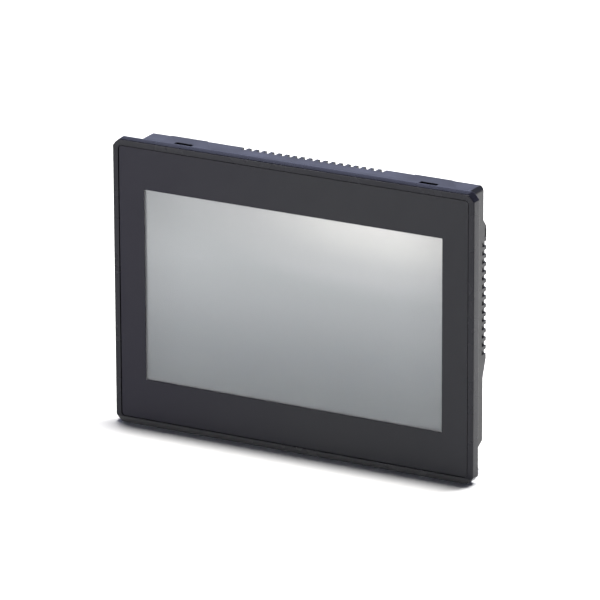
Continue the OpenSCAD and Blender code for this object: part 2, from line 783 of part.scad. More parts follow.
front_frame();
front_overlay();
touch_screen();
touch_gasket();
lcd_glass();
lcd_chassis();
panel_seal();
support_plate();
plate_screws();
board_standoffs();
main_board();
board_screws();
processor_chip();
processor_heat_sink();
memory_chips();
capacitors();
buzzer();
display_ribbon();
touch_ribbon();
rear_cover();
rear_cover_screws();
rating_label();
battery_door();
coin_cell_holder();
coin_cell();
dip_switch_base();
dip_lever(1);  // dip_lever_1
dip_lever(2);  // dip_lever_2
dip_lever(3);  // dip_lever_3
dip_lever(4);  // dip_lever_4
reset_switch();
reset_button();
power_header();
power_pins();
power_plug_body();
plug_wire_clamps();
terminal_screw(1);  // terminal_screw_1
terminal_screw(2);  // terminal_screw_2
terminal_screw(3);  // terminal_screw_3
ethernet_jack_shell();
ethernet_jack_insert();
ethernet_contacts();
usb_host_shell();
usb_host_tongue();
usb_device_shell();
usb_device_tongue();
serial_port_shell();
serial_port_insert();
serial_jack_screws();
memory_card_slot();
earth_tab();
earth_screw();
earth_nut();
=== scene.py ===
"""Looks of the operator touch panel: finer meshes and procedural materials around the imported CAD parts.

Lengths on the object are in millimetres, in the CAD frame, and turned into metres where a mesh or a
texture is made. The camera's distance, the floor and the lamps are in metres.
X runs to the right seen from the front, Y runs back into the cabinet and Z runs up.
"""

import json
import math

import bmesh
import bpy
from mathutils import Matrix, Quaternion, Vector


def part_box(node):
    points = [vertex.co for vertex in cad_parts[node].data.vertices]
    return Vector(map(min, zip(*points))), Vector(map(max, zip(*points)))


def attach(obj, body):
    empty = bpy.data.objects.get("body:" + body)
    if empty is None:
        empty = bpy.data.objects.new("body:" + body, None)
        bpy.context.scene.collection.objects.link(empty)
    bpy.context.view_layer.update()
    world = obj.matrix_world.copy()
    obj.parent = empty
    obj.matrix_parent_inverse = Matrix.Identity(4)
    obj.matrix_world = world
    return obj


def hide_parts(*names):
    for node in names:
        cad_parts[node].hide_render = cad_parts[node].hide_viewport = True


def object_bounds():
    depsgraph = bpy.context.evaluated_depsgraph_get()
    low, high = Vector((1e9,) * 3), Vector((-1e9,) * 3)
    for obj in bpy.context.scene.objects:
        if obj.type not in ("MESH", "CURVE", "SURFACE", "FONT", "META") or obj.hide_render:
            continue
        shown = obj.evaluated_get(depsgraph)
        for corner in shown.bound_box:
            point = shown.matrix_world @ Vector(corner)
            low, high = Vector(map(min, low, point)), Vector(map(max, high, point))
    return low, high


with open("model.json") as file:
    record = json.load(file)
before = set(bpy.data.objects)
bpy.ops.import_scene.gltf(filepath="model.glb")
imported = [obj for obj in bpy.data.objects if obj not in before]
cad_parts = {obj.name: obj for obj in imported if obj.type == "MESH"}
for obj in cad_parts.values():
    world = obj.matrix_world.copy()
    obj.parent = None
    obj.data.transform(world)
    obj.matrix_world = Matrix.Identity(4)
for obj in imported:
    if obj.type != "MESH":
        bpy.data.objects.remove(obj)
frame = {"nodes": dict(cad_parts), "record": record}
cad_low, cad_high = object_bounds()
MM = 0.001

# the display's picture area
PICTURE_W, PICTURE_H = 222.6, 133.0


def span_mm(node):
    """Lowest and highest corner of a CAD node, in millimetres."""
    low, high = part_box(node)
    return low / MM, high / MM


# ---------------------------------------------------------------- camera

AIM = Vector((4.2, -3.1, 6.7)) * MM
DISTANCE = 4.182
LENS = 378.6
SENSOR_WIDTH = 36
AZIMUTH, ELEVATION, ROLL = (math.radians(a) for a in (28.60, 18.72, -0.22))


def make_camera():
    """A long lens that looks at the panel from its front right and above."""
    back = Vector((
        math.sin(AZIMUTH) * math.cos(ELEVATION),
        -math.cos(AZIMUTH) * math.cos(ELEVATION),
        math.sin(ELEVATION),
    ))
    camera = bpy.data.objects.new("camera", bpy.data.cameras.new("camera"))
    camera.data.lens = LENS
    camera.data.sensor_width = SENSOR_WIDTH
    camera.data.clip_end = 100
    camera.location = AIM + back * DISTANCE
    camera.rotation_mode = "QUATERNION"
    camera.rotation_quaternion = (-back).to_track_quat("-Z", "Y") @ Quaternion((0, 0, 1), ROLL)
    bpy.context.scene.collection.objects.link(camera)
    bpy.context.scene.camera = camera


make_camera()


# ---------------------------------------------------------------- materials

# the frame's plastic, and the painted light that makes its bottom rim lighter: its height, and the height
# over which it fades
FRAME_COLOUR = (0.0080, 0.0082, 0.0130)
FRAME_RIM_PAINTED_LIGHT = (0.046, 0.046, 0.047)
PAINTED_LIGHT_HEIGHT = 3.9
PAINTED_LIGHT_FADE = 0.4

# the overlay's ink, and the painted shade that makes it darker and violet towards the left, fading out
# between two places along X
OVERLAY_INK = (0.0115, 0.0120, 0.0157)
OVERLAY_SHADED_LEFT = (0.0045, 0.0035, 0.0128)
LEFT_SHADE_SPAN = (-130, 20)

# the display's painted reflection from its top to its bottom, its tilt, and the painted shade towards its
# two sides
DISPLAY_PAINTED_REFLECTION = (
    (0.00, (0.265, 0.275, 0.270)),
    (0.28, (0.325, 0.340, 0.337)),
    (0.50, (0.270, 0.285, 0.287)),
    (0.75, (0.180, 0.196, 0.199)),
    (1.00, (0.125, 0.138, 0.140)),
)
REFLECTION_TILT = 0.12
DISPLAY_SIDE_SHADE = 0.86
SIDE_SHADE_START = 0.36

# the painted highlight over the display: its shades outwards, its middle, and how fast it falls off across
# and down
DISPLAY_PAINTED_HIGHLIGHT = (
    (0.00, (0.385, 0.362, 0.338)),
    (0.30, (0.265, 0.254, 0.232)),
    (0.60, (0.10, 0.095, 0.09)),
    (1.00, (0.00, 0.00, 0.00)),
)
HIGHLIGHT_MIDDLE = (0.82, -0.02)
HIGHLIGHT_FALL = (1.7, 6)
BORDER_GREY = (0.16, 0.16, 0.165)

# the label: its colours, the border's margin, the ruled boxes and half the widths of the lines
LABEL_SILVER = (0.34, 0.35, 0.36)
LABEL_INK = (0.06, 0.06, 0.065)
LABEL_MARGIN = 1.9
LABEL_ROWS = 5
COLUMN_OFFSET = 8
BORDER_LINE = 0.18
RULED_LINE = 0.1


class Look:
    """A material being built: a Principled shader, and textures sized in millimetres of the CAD frame."""

    def __init__(self, name, colour, roughness, metallic=0.0, **sockets):
        self.material = bpy.data.materials.new(name)
        self.material.use_nodes = True
        self.tree = self.material.node_tree
        self.shader = self.tree.nodes["Principled BSDF"]
        self.place = self.tree.nodes.new("ShaderNodeTexCoord").outputs["Object"]
        self.put("Base Color", (*colour, 1))
        self.put("Roughness", roughness)
        self.put("Metallic", metallic)
        for socket, value in sockets.items():
            self.put(socket.replace("_", " "), value)

    def put(self, socket, value):
        """A value that is the same all over."""
        self.shader.inputs[socket].default_value = value

    def link(self, source, socket):
        """A value that source gives from place to place."""
        self.tree.links.new(source, self.shader.inputs[socket])

    def noise(self, size, detail=2.0, stretch=(1, 1, 1)):
        """Noise whose lumps are about size millimetres across."""
        mapping = self.tree.nodes.new("ShaderNodeMapping")
        mapping.inputs["Scale"].default_value = [s / (size * MM) for s in stretch]
        self.tree.links.new(self.place, mapping.inputs["Vector"])
        noise = self.tree.nodes.new("ShaderNodeTexNoise")
        noise.inputs["Scale"].default_value = 1
        noise.inputs["Detail"].default_value = detail
        self.tree.links.new(mapping.outputs["Vector"], noise.inputs["Vector"])
        return noise.outputs["Fac"]

    def cells(self, size):
        """Cells about size millimetres across: the distance to the nearest cell's middle."""
        voronoi = self.tree.nodes.new("ShaderNodeTexVoronoi")
        voronoi.inputs["Scale"].default_value = 1 / (size * MM)
        self.tree.links.new(self.place, voronoi.inputs["Vector"])
        return voronoi.outputs["Distance"]

    def range(self, source, low, high, source_low=0.3, source_high=0.7):
        """source moved from its own range to low..high."""
        node = self.tree.nodes.new("ShaderNodeMapRange")
        for socket, value in (("From Min", source_low), ("From Max", source_high),
                              ("To Min", low), ("To Max", high)):
            node.inputs[socket].default_value = value
        self.tree.links.new(source, node.inputs["Value"])
        return node.outputs["Result"]

    def ramp(self, source, *stops):
        """Colours at places from 0 to 1."""
        node = self.tree.nodes.new("ShaderNodeValToRGB")
        elements = node.color_ramp.elements
        while len(elements) < len(stops):
            elements.new(0.5)
        for element, (place, colour) in zip(elements, stops):
            element.position = place
            element.color = (*colour, 1)
        self.tree.links.new(source, node.inputs["Fac"])
        return node.outputs["Color"]

    def math(self, operation, *values):
        """A Math node over numbers and other nodes' values."""
        node = self.tree.nodes.new("ShaderNodeMath")
        node.operation = operation
        for socket, value in zip(node.inputs, values):
            if isinstance(value, bpy.types.NodeSocket):
                self.tree.links.new(value, socket)
            else:
                socket.default_value = value
        return node.outputs["Value"]

    def axis(self, letter):
        """The place along X, Y or Z, in metres."""
        node = self.tree.nodes.new("ShaderNodeSeparateXYZ")
        self.tree.links.new(self.place, node.inputs["Vector"])
        return node.outputs[letter]

    def away(self, place, middle, reach):
        """Distance from middle less reach, both in millimetres: below zero while place is inside."""
        offset = self.math("SUBTRACT", place, middle * MM)
        return self.math("SUBTRACT", self.math("ABSOLUTE", offset), reach * MM)

    def bump(self, height, depth, strength=1.0):
        """Relief with the given depth in millimetres."""
        node = self.tree.nodes.new("ShaderNodeBump")
        node.inputs["Strength"].default_value = strength
        node.inputs["Distance"].default_value = depth * MM
        self.tree.links.new(height, node.inputs["Height"])
        self.link(node.outputs["Normal"], "Normal")

    def shade(self, source, colour, spread):
        """Base colour that varies a little round colour, as source does."""
        dark = tuple(c * (1 - spread) for c in colour)
        light = tuple(c * (1 + spread) for c in colour)
        self.link(self.ramp(source, (0.3, dark), (0.7, light)), "Base Color")


def moulded(name, colour, roughness, grain=0.25, relief=0.012, spread=0.18, **sockets):
    """Injection-moulded plastic with a fine spark-eroded grain and slow changes in gloss."""
    look = Look(name, colour, roughness, **sockets)
    fine = look.noise(grain, 3)
    slow = look.noise(22, 3)
    look.shade(slow, colour, spread)
    look.link(look.range(slow, roughness - 0.04, roughness + 0.04), "Roughness")
    look.bump(fine, relief, 0.6)
    return look.material


def sheet_metal(name, colour, roughness, stretch=(1, 1, 12), relief=0.004):
    """Plated or brushed metal with fine lines along one direction."""
    look = Look(name, colour, roughness, 1.0)
    lines = look.noise(0.5, 3, stretch)
    clouds = look.noise(9, 4)
    look.shade(clouds, colour, 0.12)
    look.link(look.range(lines, roughness - 0.08, roughness + 0.1), "Roughness")
    look.bump(lines, relief, 0.5)
    return look.material


def frame_moulding():
    """Charcoal plastic with a fine grain, and painted light that makes its bottom rim lighter."""
    look = Look("frame_plastic", FRAME_COLOUR, 0.27, Specular_IOR_Level=0.25)
    painted_light_top = span_mm("front_frame")[0].z + PAINTED_LIGHT_HEIGHT
    # painted light: the base colour turns lighter along the bottom rim, standing in for light the rim
    # catches
    painted_rim_light = look.range(look.axis("Z"), 1, 0, painted_light_top * MM, (painted_light_top + PAINTED_LIGHT_FADE) * MM)
    slow = look.noise(22, 3)
    look.link(look.ramp(look.math("ADD", painted_rim_light, look.range(slow, -0.04, 0.04)),
                        (0.0, FRAME_COLOUR), (1.0, FRAME_RIM_PAINTED_LIGHT)), "Base Color")
    look.link(look.range(slow, 0.24, 0.30), "Roughness")
    look.bump(look.noise(0.25, 3), 0.012, 0.6)
    return look.material


def overlay_film():
    """Satin polyester film with a very fine matt grain, and painted shade that darkens it and turns it
    violet towards the left.
    """
    look = Look("overlay_film", OVERLAY_INK, 0.42, Specular_IOR_Level=0.22)
    # painted shade: the ink's colour is darker and more violet towards the left
    shade_fade = look.range(look.axis("X"), 0, 1, LEFT_SHADE_SPAN[0] * MM, LEFT_SHADE_SPAN[1] * MM)
    look.link(look.ramp(shade_fade, (0.0, OVERLAY_SHADED_LEFT), (1.0, OVERLAY_INK)), "Base Color")
    look.link(look.range(look.noise(14, 3), 0.39, 0.46), "Roughness")
    look.bump(look.noise(0.18, 2), 0.006, 0.5)
    return look.material


def touch_film():
    """Hazy anti-glare film, through which the display shows."""
    return Look("touch_film", (0.50, 0.51, 0.52), 0.34, Alpha=0.15).material


def display_painted_reflection():
    """Unlit liquid crystal behind its polariser: silver, with a painted reflection that grows darker
    downwards and painted shade towards its sides.

    A painted highlight lies over its upper right. Places on it run from 0 to 1, rightwards and downwards.
    """
    look = Look("display_painted_reflection", (0.4, 0.4, 0.4), 0.42, 0.85)
    # painted reflection, highlight and shade: the base colour holds a lit gradient, a glow at the upper
    # right and darker sides
    down = look.range(look.axis("Z"), 0, 1, PICTURE_H / 2 * MM, -PICTURE_H / 2 * MM)
    across = look.range(look.axis("X"), 0, 1, -PICTURE_W / 2 * MM, PICTURE_W / 2 * MM)
    from_highlight = [
        look.math("POWER", look.math("ABSOLUTE", look.math("SUBTRACT", place, middle)), 2)
        for place, middle in zip((across, down), HIGHLIGHT_MIDDLE)
    ]
    reach = look.math("SQRT", look.math("ADD", look.math("MULTIPLY", from_highlight[0], HIGHLIGHT_FALL[0]),
                                        look.math("MULTIPLY", from_highlight[1], HIGHLIGHT_FALL[1])))
    painted_highlight = look.ramp(reach, *DISPLAY_PAINTED_HIGHLIGHT)
    reflection_place = look.math("MULTIPLY_ADD", look.math("MULTIPLY", across, down), REFLECTION_TILT, down)
    reflection_and_highlight = look.tree.nodes.new("ShaderNodeVectorMath")
    look.tree.links.new(look.ramp(reflection_place, *DISPLAY_PAINTED_REFLECTION), reflection_and_highlight.inputs[0])
    look.tree.links.new(painted_highlight, reflection_and_highlight.inputs[1])
    from_middle = look.math("ABSOLUTE", look.math("SUBTRACT", across, 0.5))
    side_shade = look.range(from_middle, 1, DISPLAY_SIDE_SHADE, SIDE_SHADE_START, 0.5)
    side_shaded = look.tree.nodes.new("ShaderNodeVectorMath")
    side_shaded.operation = "SCALE"
    look.tree.links.new(reflection_and_highlight.outputs["Vector"], side_shaded.inputs[0])
    look.tree.links.new(side_shade, side_shaded.inputs["Scale"])
    look.link(side_shaded.outputs["Vector"], "Base Color")
    return look.material


def display_border():
    """Printed border round the display's picture."""
    look = Look("display_border", BORDER_GREY, 0.45)
    look.shade(look.noise(5, 2), BORDER_GREY, 0.1)
    return look.material


def label_film():
    """Matt silver label with a printed border and ruled boxes, left blank."""
    look = Look("label_film", LABEL_SILVER, 0.4)
    low, high = span_mm("rating_label")
    middle, size = (low + high) / 2, high - low
    x, z = look.axis("X"), look.axis("Z")
    from_side = look.away(x, middle.x, size.x / 2)
    from_top = look.away(z, middle.z, size.z / 2)
    edge = look.math("MAXIMUM", from_side, from_top)
    inside = look.math("LESS_THAN", edge, -LABEL_MARGIN * MM)
    border = look.math("COMPARE", edge, -LABEL_MARGIN * MM, BORDER_LINE * MM)
    half_row = size.z / LABEL_ROWS / 2
    row = look.math("PINGPONG", look.math("SUBTRACT", z, low.z * MM), half_row * MM)
    column = look.away(x, middle.x - COLUMN_OFFSET, 0)
    ruled = look.math("MAXIMUM", look.math("LESS_THAN", row, RULED_LINE * MM),
                      look.math("LESS_THAN", column, RULED_LINE * MM))
    ink = look.math("MAXIMUM", border, look.math("MULTIPLY", ruled, inside))
    look.link(look.ramp(ink, (0.0, LABEL_SILVER), (1.0, LABEL_INK)), "Base Color")
    look.link(look.range(look.noise(6, 3), 0.36, 0.46), "Roughness")
    return look.material


def circuit_board():
    """Green solder mask over copper traces, with plated holes in a loose grid."""
    look = Look("circuit_board", (0.012, 0.09, 0.03), 0.32, Coat_Weight=0.4)
    traces = look.cells(3.2)
    look.link(look.ramp(traces, (0.0, (0.02, 0.14, 0.05)), (0.42, (0.012, 0.085, 0.03)),
                        (0.5, (0.018, 0.12, 0.045))), "Base Color")
    look.bump(look.range(traces, 0, 1), 0.03, 0.6)
    return look.material


materials = {
    "frame_plastic": frame_moulding(),
    "overlay_film": overlay_film(),
    "touch_film": touch_film(),
    "display_glass": display_painted_reflection(),
    "display_border": display_border(),
    "seal_rubber": moulded("seal_rubber", (0.012, 0.012, 0.012), 0.75, 0.5, 0.05),
    "sheet_steel": sheet_metal("sheet_steel", (0.60, 0.61, 0.62), 0.34),
    "screw_steel": sheet_metal("screw_steel", (0.62, 0.62, 0.63), 0.26, (1, 1, 1)),
    "brass": sheet_metal("brass", (0.72, 0.55, 0.28), 0.3, (1, 1, 1)),
    "board_green": circuit_board(),
    "chip_black": moulded("chip_black", (0.022, 0.022, 0.023), 0.5, 0.15),
    "sink_black": sheet_metal("sink_black", (0.05, 0.05, 0.055), 0.4),
    "can_aluminium": sheet_metal("can_aluminium", (0.66, 0.67, 0.68), 0.3),
    "ribbon_film": moulded("ribbon_film", (0.42, 0.2, 0.05), 0.3, 1.0, 0.004),
    "cover_plastic": moulded("cover_plastic", (0.0085, 0.0087, 0.0105), 0.33, 0.35, 0.02,
                             Specular_IOR_Level=0.235),
    "label_film": label_film(),
    "cell_steel": sheet_metal("cell_steel", (0.66, 0.67, 0.68), 0.22, (1, 1, 1)),
    "switch_red": moulded("switch_red", (0.30, 0.012, 0.012), 0.35, 0.3, 0.01),
    "lever_white": moulded("lever_white", (0.72, 0.72, 0.70), 0.35, 0.3, 0.01, 0.04),
    "button_grey": moulded("button_grey", (0.22, 0.225, 0.23), 0.42, 0.3, 0.01),
    "terminal_green": moulded("terminal_green", (0.012, 0.17, 0.05), 0.45, 0.3, 0.015),
    "contact_gold": sheet_metal("contact_gold", (0.85, 0.62, 0.26), 0.22, (1, 1, 1)),
    "socket_steel": sheet_metal("socket_steel", (0.62, 0.63, 0.64), 0.27),
    "socket_black": moulded("socket_black", (0.016, 0.016, 0.017), 0.45, 0.2, 0.01),
    "socket_white": moulded("socket_white", (0.70, 0.70, 0.68), 0.4, 0.2, 0.01, 0.04),
}
node_slots = {row["node"]: row["material_slot"] for row in frame["record"]["subparts"]}


# ---------------------------------------------------------------- mesh building

# in degrees: shading breaks at edges over the first, bevels take those over the second, and edges under
# the third dissolve
CRISP_ANGLE = 35
BEVEL_ANGLE = 28
FLAT_ANGLE = 0.5
CORNER_STEPS = 10

# how near points are joined, and how far a cutter reaches past a face
SAME_POINT = 0.002
CLEAR = 1


def body_of(node):
    """The body that a CAD node rides on."""
    bodies = frame["record"]["behaviour"]["bodies"]
    return next(body for body, nodes in bodies.items() if node in nodes)


def smooth(piece):
    """Smooth shading that stays crisp over sharp edges."""
    piece.data.shade_smooth()
    piece.data.set_sharp_from_angle(angle=math.radians(CRISP_ANGLE))


def stand_for(piece, node):
    """piece takes the place of a CAD node: its body, its material slot and its material."""
    slot = node_slots[node]
    if not piece.data.materials:
        piece.data.materials.append(materials[slot])
    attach(piece, body_of(node))
    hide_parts(node)


def new_piece(name, bm):
    """An object made of bm, with smooth shading and weighted normals."""
    mesh = bpy.data.meshes.new(name)
    bmesh.ops.recalc_face_normals(bm, faces=bm.faces)
    bm.to_mesh(mesh)
    bm.free()
    piece = bpy.data.objects.new(name, mesh)
    bpy.context.scene.collection.objects.link(piece)
    smooth(piece)
    weighted = piece.modifiers.new("weighted", "WEIGHTED_NORMAL")
    weighted.keep_sharp = True
    return piece


def rounded_outline(steps, width, height, radius, y, flatness=0):
    """Points, in metres, round a rectangle with round corners that stands at one place along Y.

    A flatness of 1 makes each corner a straight chamfer, and 0 leaves it round.
    """
    points = []
    for across, up, start in ((1, 1, 0), (-1, 1, 90), (-1, -1, 180), (1, -1, 270)):
        centre = Vector((across * (width / 2 - radius), y, up * (height / 2 - radius)))
        ends = [
            Vector((math.cos(math.radians(turn)), 0, math.sin(math.radians(turn))))
            for turn in (start, start + 90)
        ]
        for i in range(steps + 1):
            turn = math.radians(start + 90 * i / steps)
            arc = Vector((math.cos(turn), 0, math.sin(turn)))
            chord = ends[0].lerp(ends[1], i / steps)
            points.append((centre + radius * arc.lerp(chord, flatness)) * MM)
    return points


def rounded_edge(radius):
    """Three points along a rounded edge: how far each is in from the side and behind the face."""
    for turn in (0, math.pi / 4, math.pi / 2):
        yield radius * (1 - math.sin(turn)), radius * (1 - math.cos(turn))


def add_loops(bm, outlines, steps=CORNER_STEPS):
    """A loop of vertices along each outline: width, height, corner radius, y and perhaps flatness."""
    return [[bm.verts.new(point) for point in rounded_outline(steps, *outline)] for outline in outlines]


def join_loops(bm, one, other):
    """Faces between two loops."""
    faces = []
    for i in range(len(one)):
        j = (i + 1) % len(one)
        faces.append(bm.faces.new((one[i], one[j], other[j], other[i])))
    return faces


def make_ring(node, outlines):
    """A closed ring through outlines, in place of a CAD node."""
    bm = bmesh.new()
    loops = add_loops(bm, outlines)
    for one, other in zip(loops, loops[1:] + loops[:1]):
        join_loops(bm, one, other)
    stand_for(new_piece(node + "_looks", bm), node)


def softened(node, edge, steps=2):
    """A CAD node's shape with its flat faces joined up and its sharp edges rounded by edge millimetres."""
    bm = bmesh.new()
    bm.from_mesh(frame["nodes"][node].data)
    bmesh.ops.remove_doubles(bm, verts=bm.verts, dist=SAME_POINT * MM)
    bmesh.ops.dissolve_limit(
        bm, angle_limit=math.radians(FLAT_ANGLE), verts=bm.verts, edges=bm.edges, delimit=set()
    )
    limit = math.radians(BEVEL_ANGLE)
    sharp = [e for e in bm.edges if e.is_manifold and e.calc_face_angle() > limit]
    bmesh.ops.bevel(
        bm, geom=sharp, offset=edge * MM, offset_type="OFFSET", segments=steps, profile=0.5,
        affect="EDGES", clamp_overlap=False, miter_outer="ARC",
    )
    piece = new_piece(node + "_looks", bm)
    stand_for(piece, node)
    return piece


def add_block(bm, low, high):
    """A plain block between two corners, in millimetres."""
    size = high - low
    block = bmesh.ops.create_cube(bm, size=1)
    bmesh.ops.scale(bm, vec=size * MM, verts=block["verts"])
    bmesh.ops.translate(bm, vec=(low + high) / 2 * MM, verts=block["verts"])


def cut(piece, cutter_bm):
    """Cuts the shape in cutter_bm out of piece, with its weighted normals off meanwhile."""
    mesh = bpy.data.meshes.new("cutter")
    cutter_bm.to_mesh(mesh)
    cutter_bm.free()
    cutter = bpy.data.objects.new("cutter", mesh)
    bpy.context.scene.collection.objects.link(cutter)
    boolean = piece.modifiers.new("cut", "BOOLEAN")
    boolean.operation = "DIFFERENCE"
    boolean.solver = "EXACT"
    boolean.use_self = True
    boolean.object = cutter
    piece.modifiers.move(len(piece.modifiers) - 1, 0)
    weighted = piece.modifiers["weighted"]
    weighted.show_viewport = False
    bpy.context.view_layer.update()
    evaluated = piece.evaluated_get(bpy.context.evaluated_depsgraph_get())
    finished = bpy.data.meshes.new_from_object(evaluated)
    weighted.show_viewport = True
    piece.modifiers.remove(boolean)
    bpy.data.objects.remove(cutter)
    piece.data = finished
    smooth(piece)


def solids_of(node):
    """Lowest and highest corner, in millimetres, of each separate solid in a CAD node."""
    bm = bmesh.new()
    bm.from_mesh(frame["nodes"][node].data)
    bmesh.ops.remove_doubles(bm, verts=bm.verts, dist=SAME_POINT * MM)
    left = set(bm.verts)
    boxes = []
    while left:
        found = [left.pop()]
        for vert in found:
            near = {edge.other_vert(vert) for edge in vert.link_edges} & left
            left -= near
            found.extend(near)
        boxes.append([
            Vector(pick(vert.co[i] for vert in found) for i in range(3)) / MM for pick in (min, max)
        ])
    bm.free()
    return boxes


# ---------------------------------------------------------------- screws

HEAD_STEPS = 8
SCREW_SIDES = 40

# a drive recess: its depth as a share of the head's height, and half the size, along X and Z, of each
# block that cuts it
DRIVE_DEPTH = 0.5
CROSS = ((1.6, 0.32), (0.32, 1.6))
SLOT = ((2.5, 0.3),)


def screw_profile(head_r, head_t, shank_r, length):
    """Radius and height up a screw, from its tip to the top of its domed head."""
    point = 0.3 * shank_r
    head_edge = 0.04 * head_r
    dome_start = 0.4 * head_t
    points = [
        (0, -length), (shank_r - point, -length), (shank_r, point - length), (shank_r, 0),
        (head_r - head_edge, 0), (head_r, 0.05 * head_t),
    ]
    for i in range(HEAD_STEPS + 1):
        turn = math.radians(90 * i / HEAD_STEPS)
        dome = (head_t - dome_start) * math.sin(turn)
        points.append((head_r * math.cos(turn), dome_start + dome))
    return points


def add_screw(bm, middle, head_r, head_t, shank_r, length):
    """A domed screw along Y whose head's seat is at middle, in millimetres."""
    rings = []
    for radius, height in screw_profile(head_r, head_t, shank_r, length):
        at = Vector((middle.x, middle.y + height, middle.z))
        if radius < SAME_POINT:
            rings.append([bm.verts.new(at * MM)])
            continue
        turns = [math.tau * i / SCREW_SIDES for i in range(SCREW_SIDES)]
        rings.append([
            bm.verts.new((at + radius * Vector((math.cos(t), 0, math.sin(t)))) * MM) for t in turns
        ])
    for one, other in zip(rings, rings[1:]):
        for i in range(SCREW_SIDES):
            j = (i + 1) % SCREW_SIDES
            corners = [ring[k % len(ring)] for ring, k in ((one, i), (one, j), (other, j), (other, i))]
            bm.faces.new(list(dict.fromkeys(corners)))


def make_screws(node, head_t, shank_r, drive):
    """Screws along Y in place of a CAD node's, with a recess for a cross or slot driver."""
    bm = bmesh.new()
    cutter = bmesh.new()
    for low, high in solids_of(node):
        head_r = (high.x - low.x) / 2
        seat = Vector(((low.x + high.x) / 2, high.y - head_t, (low.z + high.z) / 2))
        add_screw(bm, seat, head_r, head_t, shank_r, seat.y - low.y)
        for half_x, half_z in drive:
            reach = Vector((half_x, 0, half_z))
            bottom = Vector((seat.x, high.y - DRIVE_DEPTH * head_t, seat.z))
            top = Vector((seat.x, high.y + CLEAR, seat.z))
            add_block(cutter, bottom - reach, top + reach)
    piece = new_piece(node + "_looks", bm)
    cut(piece, cutter)
    stand_for(piece, node)


# ---------------------------------------------------------------- front

# the frame: its chamfered corners, and its side, which leans in and bulges towards the front
FRAME_CORNER = 5.4
CORNER_FLATNESS = 0.7
SIDE_LEAN = 0.42
SIDE_BULGE = 0.3
SIDE_STEPS = 8
BACK_ROUND = 0.3

# the frame's rim: its rounded outer edge, the angle in degrees at which that rounding ends, how far it
# stands back from the rim's inner lip there, and the lip's rounding
RIM_ROUND = 0.6
RIM_STEPS = 7
RIM_END = 89
RIM_BACK = 0.01
LIP_ROUND = 0.14

# the groove round the overlay, the opening for the touch screen, and the seal's groove
GROOVE = 0.5
GROOVE_SINK = 0.7
TOUCH_ROOM = 0.3
TOUCH_CORNER = 1
SEAL_W = 2.6
SEAL_SINK = 1
SEAL_CORNERS = (3, 2.5)

# the overlay and the display's glass
OVERLAY_CORNER = 2.2
OVERLAY_ROUND = 0.12
WINDOW_W, WINDOW_H, WINDOW_CORNER = 224.2, 134.5, 0.4
GLASS_EDGE = 0.2
GLASS_CORNER = 0.3
PICTURE_CORNER = 0.2
PICTURE_SINK = 0.03


def make_front_frame():
    """Front frame: its side, its rim, the groove, the overlay's seat and the seal's groove."""
    low, high = span_mm("front_frame")
    overlay_low, overlay_high = span_mm("front_overlay")
    seal_low, seal_high = span_mm("panel_seal")
    touch_low, touch_high = span_mm("touch_screen")
    width, height = high.x - low.x, high.z - low.z
    overlay_w, overlay_h = overlay_high.x - overlay_low.x, overlay_high.z - overlay_low.z
    seal_w, seal_h = seal_high.x - seal_low.x, seal_high.z - seal_low.z
    opening_w = touch_high.x - touch_low.x + 2 * TOUCH_ROOM
    opening_h = touch_high.z - touch_low.z + 2 * TOUCH_ROOM
    front, back, seat = low.y, seal_low.y + SEAL_SINK, overlay_high.y

    def outer(inset, y):
        """The frame's outline, drawn in by inset."""
        return (width - 2 * inset, height - 2 * inset, FRAME_CORNER - inset, y, CORNER_FLATNESS)

    def recess(spread, y):
        """The overlay's outline, spread outwards."""
        return (overlay_w + 2 * spread, overlay_h + 2 * spread, OVERLAY_CORNER + spread, y)

    outlines = [outer(inset, back - along) for inset, along in rounded_edge(BACK_ROUND)]
    rim_y = front + RIM_BACK + RIM_ROUND
    side = back - BACK_ROUND - rim_y
    for i in range(1, SIDE_STEPS + 1):
        share = i / SIDE_STEPS
        inset = SIDE_LEAN * ((1 - SIDE_BULGE) * share + SIDE_BULGE * share ** 2)
        outlines.append(outer(inset, back - BACK_ROUND - side * share))
    # the rim's edge takes over from the side at the angle that the side has there
    lean = math.atan((1 + SIDE_BULGE) * SIDE_LEAN / side)
    for i in range(1, RIM_STEPS + 1):
        turn = lean + (math.radians(RIM_END) - lean) * i / RIM_STEPS
        inset = SIDE_LEAN + RIM_ROUND * (math.cos(lean) - math.cos(turn))
        outlines.append(outer(inset, rim_y - RIM_ROUND * (math.sin(turn) - math.sin(lean))))
    outlines += [recess(GROOVE + inset, front + along) for inset, along in rounded_edge(LIP_ROUND)]
    outlines += [
        recess(GROOVE, seat + GROOVE_SINK),
        recess(0, seat + GROOVE_SINK),
        recess(0, seat),
        (opening_w, opening_h, TOUCH_CORNER, seat),
        (opening_w, opening_h, TOUCH_CORNER, back),
        (seal_w - 2 * SEAL_W, seal_h - 2 * SEAL_W, SEAL_CORNERS[1], back),
        (seal_w - 2 * SEAL_W, seal_h - 2 * SEAL_W, SEAL_CORNERS[1], seal_low.y),
        (seal_w, seal_h, SEAL_CORNERS[0], seal_low.y),
        (seal_w, seal_h, SEAL_CORNERS[0], back),
    ]
    make_ring("front_frame", outlines)


def make_overlay():
    """Overlay film, with a soft outer edge and crisp window corners."""
    low, high = span_mm("front_overlay")
    width, height = high.x - low.x, high.z - low.z
    outlines = [(width, height, OVERLAY_CORNER, high.y)]
    for inset, along in reversed(list(rounded_edge(OVERLAY_ROUND))):
        outlines.append((width - 2 * inset, height - 2 * inset, OVERLAY_CORNER - inset, low.y + along))
    outlines += [
        (WINDOW_W + OVERLAY_ROUND, WINDOW_H + OVERLAY_ROUND, WINDOW_CORNER, low.y),
        (WINDOW_W, WINDOW_H, WINDOW_CORNER, low.y + OVERLAY_ROUND / 2),
        (WINDOW_W, WINDOW_H, WINDOW_CORNER, high.y),
    ]
    make_ring("front_overlay", outlines)


